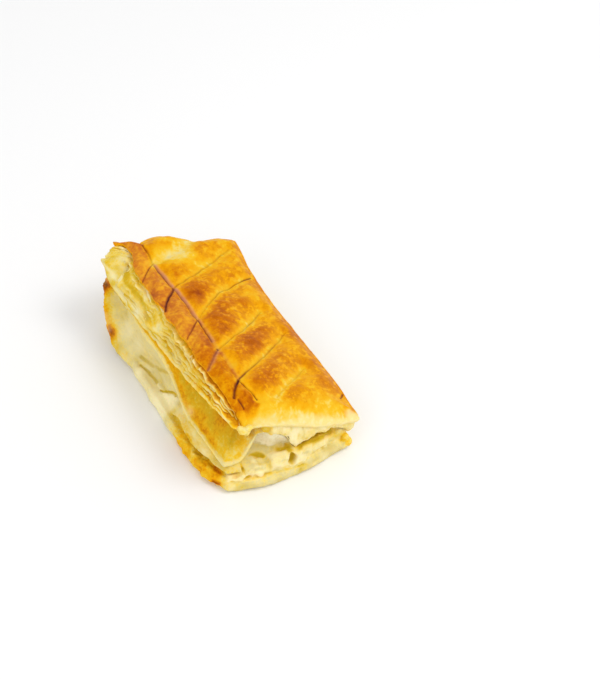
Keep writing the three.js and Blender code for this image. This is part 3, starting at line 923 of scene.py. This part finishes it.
def add_core(shells):
    """The solid dough behind the leaves, with a whitish film where it shows at the front end."""
    def top(p, q):
        return crust_level(p, q) - CORE_BELOW_CRUST - FRONT_ROLL[0] * ramp(q, -0.8, -1)

    walls = (
        (0.84, lambda p, q: lerp(-1, 4.5, left_share(p))),
        (0.64, lambda p, q: lerp(-0.5, 1, left_share(p)) + 0.6 * np.sin(9 * p - 7 * q)),
        (0.5, wavy(0.4, 0.5, 8, 11)), (0.36, wavy(0, 0.6, 9, 7)), (0.2, wavy(0, 0.3, 17, 13)),
    )
    insets = (lambda p, q: lerp(-1.5, 8.5, left_share(p)), flat(0))
    points, quads = slab(CORE_CELLS, CORE_PLAN, top, flat(1), insets, walls)
    x, y, z = points.T
    film = ramp(y, -42, -50) * ramp(x, -24, -18)
    back = ramp(y, 40, 50)
    shells.add(points, quads, bake=lerp(0.02 + 0.12 * back, -0.16, film), olive=0.1 * (1 - film), grain=0.25)


def add_blob(shells, centre, radii, **looks):
    """A rounded lump of dough, of level rings."""
    (x, y, z), (rx, ry, rz) = centre, radii
    turns = np.linspace(0, 2 * np.pi, BLOB_TURNS, endpoint=False)
    rings = []
    for tilt in np.pi * (np.linspace(0, 1, BLOB_RINGS) - 0.5):
        wide = math.cos(tilt) + 0.05
        high = z + rz * math.sin(tilt) + 0 * turns
        rings.append(np.stack([x + rx * wide * np.cos(turns), y + ry * wide * np.sin(turns), high], 1))
    shells.add(np.concatenate(rings), tube(BLOB_TURNS, BLOB_RINGS), **looks)


def new_mesh(name, points, faces):
    """A mesh from an array of points and an array of faces."""
    mesh = bpy.data.meshes.new(name)
    mesh.from_pydata(points.tolist(), [], faces.tolist())
    return mesh


def modified(mesh, kind, **settings):
    """The mesh that a modifier makes of a mesh."""
    holder = bpy.data.objects.new("holder", mesh)
    bpy.context.scene.collection.objects.link(holder)
    modifier = holder.modifiers.new(kind, kind)
    for name, value in settings.items():
        setattr(modifier, name, value)
    depsgraph = bpy.context.evaluated_depsgraph_get()
    result = bpy.data.meshes.new_from_object(holder.evaluated_get(depsgraph))
    bpy.data.objects.remove(holder)
    return result


def fused(points, quads):
    """One closed skin of small quads round overlapping shells."""
    return modified(new_mesh("shells", points, quads), "REMESH", mode="VOXEL", voxel_size=VOXEL)


def lightened(mesh, triangles):
    """The mesh as triangles, thinned where it is smooth."""
    ratio = min(1.0, triangles / (2 * len(mesh.polygons)))
    return modified(mesh, "DECIMATE", ratio=ratio, use_collapse_triangulate=True)


def set_points(mesh, points):
    mesh.vertices.foreach_set("co", np.ascontiguousarray(points, np.float32).ravel())
    mesh.update()


def triples(items, label):
    """A value of three numbers that each of a mesh's items has, as an array."""
    values = np.empty(len(items) * 3, np.float32)
    items.foreach_get(label, values)
    return values.reshape(-1, 3).astype(float)


def mesh_points(mesh):
    return triples(mesh.vertices, "co")


def mesh_normals(mesh):
    return triples(mesh.vertex_normals, "vector")


def smoothed(mesh, values, rounds):
    """Values of points, each evened out with its neighbours' a number of times."""
    ends = np.empty(len(mesh.edges) * 2, np.int32)
    mesh.edges.foreach_get("vertices", ends)
    a, b = ends.reshape(-1, 2).T
    count = np.bincount(a, minlength=len(values)) + np.bincount(b, minlength=len(values))
    for _ in range(rounds):
        total = np.bincount(a, values[b], len(values)) + np.bincount(b, values[a], len(values))
        values = 0.5 * values + 0.5 * total / np.maximum(count, 1)
    return values


def crevice_depth(mesh, rounds):
    """How far each point lies below the evened-out surface round it; less than 0 on ridges."""
    points = mesh_points(mesh)
    even = np.stack([smoothed(mesh, column, rounds) for column in points.T], 1)
    return ((even - points) * mesh_normals(mesh)).sum(1)


def looks_at(shells, points):
    """The looks of the nearest shell face; those of the core, the first shell, only far from leaves."""
    sources, quads, looks = shells.joined()
    core_faces = len(shells.quads[0])
    corners = sources.tolist()
    core = BVHTree.FromPolygons(corners, quads[:core_faces].tolist())
    leaves = BVHTree.FromPolygons(corners, quads[core_faces:].tolist())
    found = np.empty(len(points), int)
    for n, point in enumerate(points.tolist()):
        _, _, face, distance = leaves.find_nearest(point)
        found[n] = face + core_faces
        if distance > CORE_SHOWS_FROM:
            _, _, core_face, core_distance = core.find_nearest(point)
            if core_distance < distance:
                found[n] = core_face
    return {name: values[quads[found]].mean(1) for name, values in looks.items()}


def marks_at(points):
    """What the creases, slits and rims do at each point: groove depth, browner and olive shares, which are
    painted shade in the creases, slits, gaps and hollows.
    """
    groove, bake, olive = np.zeros((3, len(points)))
    wander = MARK_SWAY * np.stack([noise(*points.T, 2.5, seed) for seed in (151, 152, 153)], 1)
    swayed = points + wander
    for mark in MARKS.values():
        away = np.full(len(points), np.inf)
        for start, end in zip(np.array(mark.course[:-1]), np.array(mark.course[1:])):
            run = end - start
            share = unit((swayed - start) @ run / (run @ run))
            away = np.minimum(away, np.linalg.norm(swayed - start - share[:, None] * run, axis=1))
        groove = np.maximum(groove, mark.groove * bell(away, 0, mark.width))
        look = bell(np.maximum(away - 0.5 * mark.groove, 0), 0, mark.width)
        bake += mark.bake * look
        olive = np.maximum(olive, mark.olive * look)
    return groove, bake, olive


def pocket_depth(points):
    """How deep the pockets of the front band go at each point."""
    x, y, z = points.T
    depth = 0 * x
    for at_x, at_z, half_width, half_height, deep in POCKETS:
        rise = z - at_z + 0.25 * noise(x, y, z, 2.5, 81)
        reach = ((x - at_x) / half_width) ** 2 + (rise / half_height) ** 2
        depth = np.maximum(depth, deep * ease(1.25 - reach) * (y < POCKETS_END))
    return depth


def lip_side(points):
    """Height above the lip line of the pale sheet, and where along the side the lip is."""
    x, y, z = points.T
    at, heights = np.array(LIP_LINE).T
    above = z - np.interp(y, at, heights) + 0.3 * noise(x, y, z, 3, 155)
    here = ramp(y, -13, -9) * ramp(y, 24, 18) * ramp(x, -25, -27) * (z < 22)
    return above, here


def lip_rise(points):
    """How far the pale sheet stands out below its lip line."""
    above, here = lip_side(points)
    stands_out = ramp(above, 0, -1.2) * ramp(above, -6, -2)
    return here * LIP_RISE * stands_out


def roughened(mesh, shells):
    """Points of the fused skin with the grain of the dough, its creases and its open pockets."""
    points = mesh_points(mesh)
    x, y, z = points.T
    looks = looks_at(shells, points)
    grain, bubble = (smoothed(mesh, looks[name], 2) for name in ("grain", "bubble"))
    along_grain = 0.6 * rough(x, y / 5, z, 1.8, 2, 71) + 0.5 * rough(x, y, z, 3.5, 2, 75)
    along_grain += 0.9 * noise(x, y / 2, z, 6, 78)
    bubbles = 0.7 * noise(x, y, z, 2.6, 97) + 0.3 * noise(x, y, z, 1.3, 98)
    rise = grain * along_grain + bubble * bubbles + lip_rise(points) - marks_at(points)[0]
    points = points + mesh_normals(mesh) * (rise * (z > 0.4))[:, None]
    points[:, 1] += pocket_depth(points)
    return points


def as_piece(name, mesh, looks):
    """A finished piece in metres, with its looks as attributes."""
    mesh.name = name
    set_points(mesh, (mesh_points(mesh) - BOX_CENTRE) / 1000)
    for label in PIECE_LOOKS:
        values = np.broadcast_to(looks.get(label, 0.0), len(mesh.vertices))
        layer = mesh.attributes.new(label, "FLOAT", "POINT")
        layer.data.foreach_set("value", np.ascontiguousarray(values, np.float32))
    mesh.polygons.foreach_set("use_smooth", np.ones(len(mesh.polygons), bool))
    mesh.update()
    piece = bpy.data.objects.new(name, mesh)
    bpy.context.scene.collection.objects.link(piece)
    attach(piece, "root")
    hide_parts("pastry")
    return piece


def build_leaves():
    """The fan of leaves below the crust and the pale face at the front end."""
    shells = Shells()
    for index in range(FAN_LEAVES):
        add_fan_leaf(shells, index)
    add_fan_body(shells)
    add_front_face(shells)
    for lump in KNOB:
        add_blob(shells, *lump, bake=0.18)
    points, quads, looks = shells.joined()
    x, y, z = points.T
    lumpy = 1 + (1.0 * ramp(y, 4, 29) + 0.6 * ramp(y, 40, 52)) * ramp(x, -21, -24)
    crumple = [
        0.3 * lumpy * noise(x, y, z, 3.8, seed) + 0.22 * noise(x, y, z, 1.5, seed + 1)
        for seed in (161, 163, 165)
    ]
    points = points + np.stack(crumple, 1)
    centre, radii, amount = PALE_FACET
    looks["cream"] = np.maximum(looks["cream"], amount * near(points, centre, radii))
    return as_piece("pastry_leaves", new_mesh("pastry_leaves", points, quads), looks)


def layer_looks(skin, shells):
    """The looks of the fused skin: those of its shells, with spots, lip, mottling, creases and pockets;
    painted shade in its crevices, creases and pockets, painted light on its ridges and lip.
    """
    points = mesh_points(skin)
    found = looks_at(shells, points)
    names = ("bake", "olive", "cream", "mottle")
    bake, olive, cream, mottled = (smoothed(skin, found[name], 2) for name in names)
    for centre, radius, amount in SPOTS:
        spot = near(points, centre, radius)
        bake += amount * spot
        olive *= 1 - min(2.5 * abs(amount), 0.6) * spot
    # The lip below the lip line is creamy and not olive: the pale dough's own tone, raised near y = -3 as
    # painted light where the lip faces away from the lamps.
    above, here = lip_side(points)
    lip = here * ramp(above, 0, -0.8)
    lip_cream_and_light = 0.55 - 0.25 * bell(points[:, 1], 9, 6) + 0.3 * bell(points[:, 1], -3, 5)
    cream = np.maximum(cream, lip_cream_and_light * lip)
    olive *= 1 - lip
    for centre, radius, amount in CREAM_SPOTS:
        spot = amount * near(points, centre, radius)
        cream = np.maximum(cream, spot)
        olive *= 1 - spot
    mottle = 0.6 * noise(*points.T, 1.3, 157) + 0.6 * noise(*points.T, 2.8, 158)
    bake += 0.12 * mottled * mottle
    olive *= 1 - 0.6 * mottled * unit(mottle - 0.1)
    flecks = mottled * olive * ramp(noise(*points.T, 1.2, 159), 0.35, 0.6)
    bake -= 0.14 * flecks
    olive *= 1 - 0.5 * flecks
    # The marks' browner and olive shares: painted shade in the creases, slits, gaps and hollows
    _, browner, greener = marks_at(points)
    # Painted shade: points that lie below the evened-out surface round them, in creases and between layers,
    # are made browner and more olive; points on ridges are made paler, a painted highlight.
    crevice_shade = np.clip(crevice_depth(skin, 8) / 0.35, -1, 1)
    bake = np.maximum(bake + 0.07 * crevice_shade, np.minimum(bake, 0.01)) + browner
    olive = np.maximum(olive + 0.5 * unit(crevice_shade) * (1 - lip), greener)
    # Painted shade inside the pockets of the front band and just in front of them: browner and olive where
    # they are deep.
    in_front = points - [0, 3.0, 0]
    hollow = np.maximum(pocket_depth(points), pocket_depth(in_front))
    bake += np.clip(hollow / 12, 0, 0.3)
    olive = unit(np.maximum(olive, unit(hollow / 2.5)))
    return {"bake": bake, "olive": olive, "cream": cream * (1 - olive)}


def build_layers():
    """The rest below the crust: core, flap, pale sheet, base and front band, fused into one skin."""
    shells = Shells()
    for add in (add_core, add_flap, add_hem, add_pale, add_base, add_band):
        add(shells)
    add_blob(shells, *FOLD, bake=0.08, olive=0.15, grain=0.3)
    for lump in CORNER_LUMPS:
        add_blob(shells, *lump, bake=0.2, grain=0.4)
    points, quads, _ = shells.joined()
    skin = fused(points, quads)
    set_points(skin, roughened(skin, shells))
    skin = lightened(skin, LAYER_TRIANGLES)
    return as_piece("pastry_layers", skin, layer_looks(skin, shells))


def build_crust():
    """The scored crust with its rolled edges."""
    def under(p, q):
        return crust_rolled(p, q) - CRUST_THICKNESS

    walls = ((0.72, flat(-0.15)), (0.4, flat(0.05)))
    points, quads = slab(CRUST_CELLS, CRUST_PLAN, crust_top, under, (flat(0), flat(0.7)), walls)
    top = np.arange(len(points)) < (CRUST_CELLS[0] + 1) * (CRUST_CELLS[1] + 1)
    x, y, _ = points.T
    lines = scoring(x, y)
    edge_bake = EDGE_BAKE + 0.24 * ramp(x, -16, -20) - 0.12 * ramp(y, -50, -55)
    # Painted reflection: a weak mauve band just left of the long line
    strip_mauve_reflection = 0.12 * ramp(x - long_line(y), 0, -2) * ramp(y, -25, -5)
    looks = {
        "bake": np.where(top, crust_bake(x, y, lines), edge_bake),
        "cream": crust_cream(x, y),
        "score": unit(1.2 * lines.dark) ** 1.3 * top,
        "mauve": np.where(top, np.maximum(lines.mauve, strip_mauve_reflection), 0),
        "crust": top,
    }
    return as_piece("pastry_crust", new_mesh("pastry_crust", points, quads), looks)


def srgb(r, g, b):
    """A colour given as on a screen, 0 to 255, as the linear values a shader takes."""
    shares = (r / 255, g / 255, b / 255)
    return tuple(c / 12.92 if c <= 0.04045 else ((c + 0.055) / 1.055) ** 2.4 for c in shares)


# Colours of the dough from a white film, below 0, to dark brown, at 1; the beige at 0, darker than its
# neighbours, is painted shade for the pale sheet under the fan
WHITE_AT = -0.15
BAKE_COLOURS = (
    (WHITE_AT, srgb(246, 236, 200)),
    (0.0, srgb(224, 209, 150)),
    (0.12, srgb(240, 219, 138)),
    (0.24, srgb(243, 208, 90)),
    (0.35, srgb(243, 193, 38)),
    (0.5, srgb(240, 168, 6)),
    (0.66, srgb(208, 118, 2)),
    (0.82, srgb(164, 74, 4)),
    (1.0, srgb(100, 38, 4)),
)
BROWN = srgb(60, 24, 0)
CRUST_SHADE = 0.1
SCORE_COLOUR = srgb(88, 38, 34)
# Painted reflection: the mauve of the light on the glossy sides of the grooves, and how strongly it shows
MAUVE_REFLECTION_COLOUR = srgb(204, 138, 108)
MAUVE_REFLECTION_STRENGTH = 0.9
# Olive-gold: painted shade in creases, slits, gaps, hollows and under the fan, and also the greenish tone of
# the pale dough
OLIVE_COLOUR = srgb(196, 166, 34)
OLIVE_STRENGTH = 0.88
CREAM_COLOUR = srgb(253, 240, 190)

# Noise in the material: features in a metre, detail, roughness and, but for the bumps, its swing
BLOTCHES = (240.0, 5.0, 0.6, 0.36)
SPECKS = (900.0, 5.0, 0.66, 0.46)
GREEN_SPECKS = (330.0, 4.0, 0.6, 1.8)
BUMPS = (1500.0, 5.0, 0.65)
BUMP_HEIGHT = 0.0004

# The crust is calmer than the rest: its blotches, specks and bumps are weaker, and it is glossier
CALM_BLOTCHES = 0.6
CALM_SPECKS = 0.5
BUMP_STRENGTH = 0.4
CALM_BUMPS = 0.28
ROUGHNESS = 0.62
GLOSS = 0.18
DOUGH_FINISH = {
    "Specular IOR Level": 0.04,
    "Specular Tint": (1.0, 0.8, 0.4, 1.0),
    "Subsurface Weight": 0.12,
    "Subsurface Radius": (1.0, 0.6, 0.25),
    "Subsurface Scale": 0.002,
}


class Nodes:
    """A short way to add and link the shader nodes of a new material."""

    def __init__(self, name):
        self.material = bpy.data.materials.new(name)
        self.material.use_nodes = True
        self.tree = self.material.node_tree
        self.tree.nodes.clear()
        self.plus, self.minus, self.times, self.larger, self.smaller, self.over = (
            partial(self.maths, kind)
            for kind in ("ADD", "SUBTRACT", "MULTIPLY", "MAXIMUM", "MINIMUM", "DIVIDE")
        )

    def add(self, kind, **settings):
        node = self.tree.nodes.new(kind)
        for name, value in settings.items():
            if name in node.bl_rna.properties:
                setattr(node, name, value)
            else:
                node.inputs[name].default_value = value
        return node

    def link(self, source, target):
        self.tree.links.new(source, target)

    def maths(self, operation, a, b):
        node = self.add("ShaderNodeMath", operation=operation)
        for socket, value in zip(node.inputs, (a, b)):
            if isinstance(value, (int, float)):
                socket.default_value = value
            else:
                self.link(value, socket)
        return node.outputs[0]

    def mixed(self, factor, first, colour):
        """A colour output mixed with a fixed colour."""
        node = self.add("ShaderNodeMix", data_type="RGBA")
        self.link(factor, node.inputs["Factor"])
        self.link(first, node.inputs[6])
        node.inputs[7].default_value = (*colour, 1)
        return node.outputs[2]

    def attribute(self, name):
        return self.add("ShaderNodeAttribute", attribute_name=name).outputs["Fac"]

    def texture(self, scale, detail, roughness):
        """Noise from 0 to 1 that stays with the piece."""
        node = self.add("ShaderNodeTexNoise", Scale=scale, Detail=detail, Roughness=roughness)
        self.link(self.add("ShaderNodeTexCoord").outputs["Object"], node.inputs["Vector"])
        return node.outputs[0]

    def swing(self, scale, detail, roughness, amount):
        """Noise that swings about 0."""
        return self.times(self.minus(self.texture(scale, detail, roughness), 0.5), amount)

    def finished(self, shader):
        """The material, with the shader as its surface."""
        self.link(shader.outputs[0], self.add("ShaderNodeOutputMaterial").inputs["Surface"])
        return self.material


def bake_colour(nodes, bake):
    """The colour of dough that is so far baked."""
    ramp = nodes.add("ShaderNodeValToRGB")
    while len(ramp.color_ramp.elements) < len(BAKE_COLOURS):
        ramp.color_ramp.elements.new(0.5)
    for element, (at, colour) in zip(ramp.color_ramp.elements, BAKE_COLOURS):
        element.position = (at - WHITE_AT) / (1 - WHITE_AT)
        element.color = (*colour, 1)
    nodes.link(nodes.over(nodes.minus(bake, WHITE_AT), 1 - WHITE_AT), ramp.inputs["Fac"])
    return ramp.outputs["Color"]


def dough_colour(nodes):
    """The colour of the dough from its looks, with blotches and specks; the crust is calmer."""
    baked, olive, cream, score, mauve, crust = (nodes.attribute(name) for name in PIECE_LOOKS)
    blotch = nodes.times(nodes.swing(*BLOTCHES), nodes.minus(1.0, nodes.times(crust, CALM_BLOTCHES)))
    coarse = nodes.minus(nodes.plus(olive, 1.0), nodes.times(crust, CALM_SPECKS))
    speck = nodes.times(nodes.swing(*SPECKS), coarse)
    bake = nodes.plus(baked, nodes.plus(blotch, speck))
    bake = nodes.larger(bake, nodes.smaller(baked, 0.0))
    green = nodes.larger(nodes.swing(*GREEN_SPECKS), 0.0)
    green = nodes.times(green, nodes.minus(1.0, crust))
    # Olive: painted shade from the olive attribute, and the greenish tone of the dough that is not crust
    olive_tint_and_shade = nodes.times(nodes.larger(olive, green), OLIVE_STRENGTH)
    colour = nodes.mixed(nodes.times(crust, CRUST_SHADE), bake_colour(nodes, bake), BROWN)
    colour = nodes.mixed(olive_tint_and_shade, colour, OLIVE_COLOUR)
    colour = nodes.mixed(cream, colour, CREAM_COLOUR)
    # Painted reflection beside the grooves
    colour = nodes.mixed(nodes.times(mauve, MAUVE_REFLECTION_STRENGTH), colour, MAUVE_REFLECTION_COLOUR)
    return nodes.mixed(score, colour, SCORE_COLOUR)


def dough_material():
    nodes = Nodes("baked_dough")
    crust = nodes.attribute("crust")
    bump = nodes.add("ShaderNodeBump", Distance=BUMP_HEIGHT)
    nodes.link(nodes.minus(BUMP_STRENGTH, nodes.times(crust, CALM_BUMPS)), bump.inputs["Strength"])
    nodes.link(nodes.texture(*BUMPS), bump.inputs["Height"])
    shader = nodes.add("ShaderNodeBsdfPrincipled", **DOUGH_FINISH)
    nodes.link(dough_colour(nodes), shader.inputs["Base Color"])
    nodes.link(bump.outputs["Normal"], shader.inputs["Normal"])
    nodes.link(nodes.minus(ROUGHNESS, nodes.times(crust, GLOSS)), shader.inputs["Roughness"])
    return nodes.finished(shader)


def plain_material(name, colour, roughness):
    nodes = Nodes(name)
    settings = {"Base Color": (*colour, 1), "Roughness": roughness}
    return nodes.finished(nodes.add("ShaderNodeBsdfPrincipled", **settings))


# The pastry
dough = dough_material()
for piece in (build_layers(), build_leaves(), build_crust()):
    piece.data.materials.append(dough)


# Floor, light and camera, in metres
FLOOR_HALF = 3.0
FLOOR_COLOUR = (0.9, 0.9, 0.9)
FLOOR_ROUGHNESS = 0.8
VIEW_AZIMUTH = math.radians(-26)
VIEW_ELEVATION = math.radians(46)
VIEW_DISTANCE = 0.68
VIEW_TARGET = Vector((0.0014, -0.0053, 0.012))
TARGET_PIXEL = (232, 372)
IMAGE_SIZE = (600, 680)
FOCAL_PIXELS = 1523
SENSOR = 36.0
SKY = 0.84
LAMPS = (("key", (0.5, -0.45, 0.95), 0.5, 4.6), ("fill", (-0.9, -0.4, 0.6), 0.9, 1.8))


def build_floor():
    corners = np.array([[-1, -1, 0], [1, -1, 0], [1, 1, 0], [-1, 1, 0]]) * FLOOR_HALF
    floor = bpy.data.objects.new("floor", new_mesh("floor", corners, np.array([[0, 1, 2, 3]])))
    floor.data.materials.append(plain_material("pale_floor", FLOOR_COLOUR, FLOOR_ROUGHNESS))
    bpy.context.scene.collection.objects.link(floor)


def build_camera():
    """The photo's view: the pastry left of the middle, seen from the front left and above."""
    data = bpy.data.cameras.new("camera")
    data.sensor_width = SENSOR
    data.lens = FOCAL_PIXELS / max(IMAGE_SIZE) * SENSOR
    camera = bpy.data.objects.new("camera", data)
    bpy.context.scene.collection.objects.link(camera)
    level = math.cos(VIEW_ELEVATION)
    sine, cosine = math.sin(VIEW_AZIMUTH), math.cos(VIEW_AZIMUTH)
    back = Vector((sine * level, -cosine * level, math.sin(VIEW_ELEVATION)))
    right = Vector((cosine, sine, 0))
    up = back.cross(right)
    per_pixel = VIEW_DISTANCE / FOCAL_PIXELS
    eye = VIEW_TARGET + back * VIEW_DISTANCE
    aim = VIEW_TARGET + right * (IMAGE_SIZE[0] / 2 - TARGET_PIXEL[0]) * per_pixel
    aim += up * (TARGET_PIXEL[1] - IMAGE_SIZE[1] / 2) * per_pixel
    turned_back = (eye - aim).normalized()
    turned_up = turned_back.cross(right).normalized()
    turned_right = turned_up.cross(turned_back)
    axes = Matrix((turned_right, turned_up, turned_back)).transposed().to_4x4()
    camera.matrix_world = Matrix.Translation(eye) @ axes
    bpy.context.scene.camera = camera


def build_lights():
    world = bpy.data.worlds.new("studio")
    bpy.context.scene.world = world
    world.use_nodes = True
    sky = world.node_tree.nodes["Background"]
    sky.inputs["Color"].default_value = (1, 1, 1, 1)
    sky.inputs["Strength"].default_value = SKY
    for name, place_at, size, power in LAMPS:
        data = bpy.data.lights.new(name, "AREA")
        data.size = size
        data.energy = power
        lamp = bpy.data.objects.new(name, data)
        lamp.location = place_at
        lamp.rotation_mode = "QUATERNION"
        lamp.rotation_quaternion = (VIEW_TARGET - lamp.location).to_track_quat("-Z", "Y")
        bpy.context.scene.collection.objects.link(lamp)
    bpy.context.scene.view_settings.view_transform = "Standard"


build_floor()
build_camera()
build_lights()
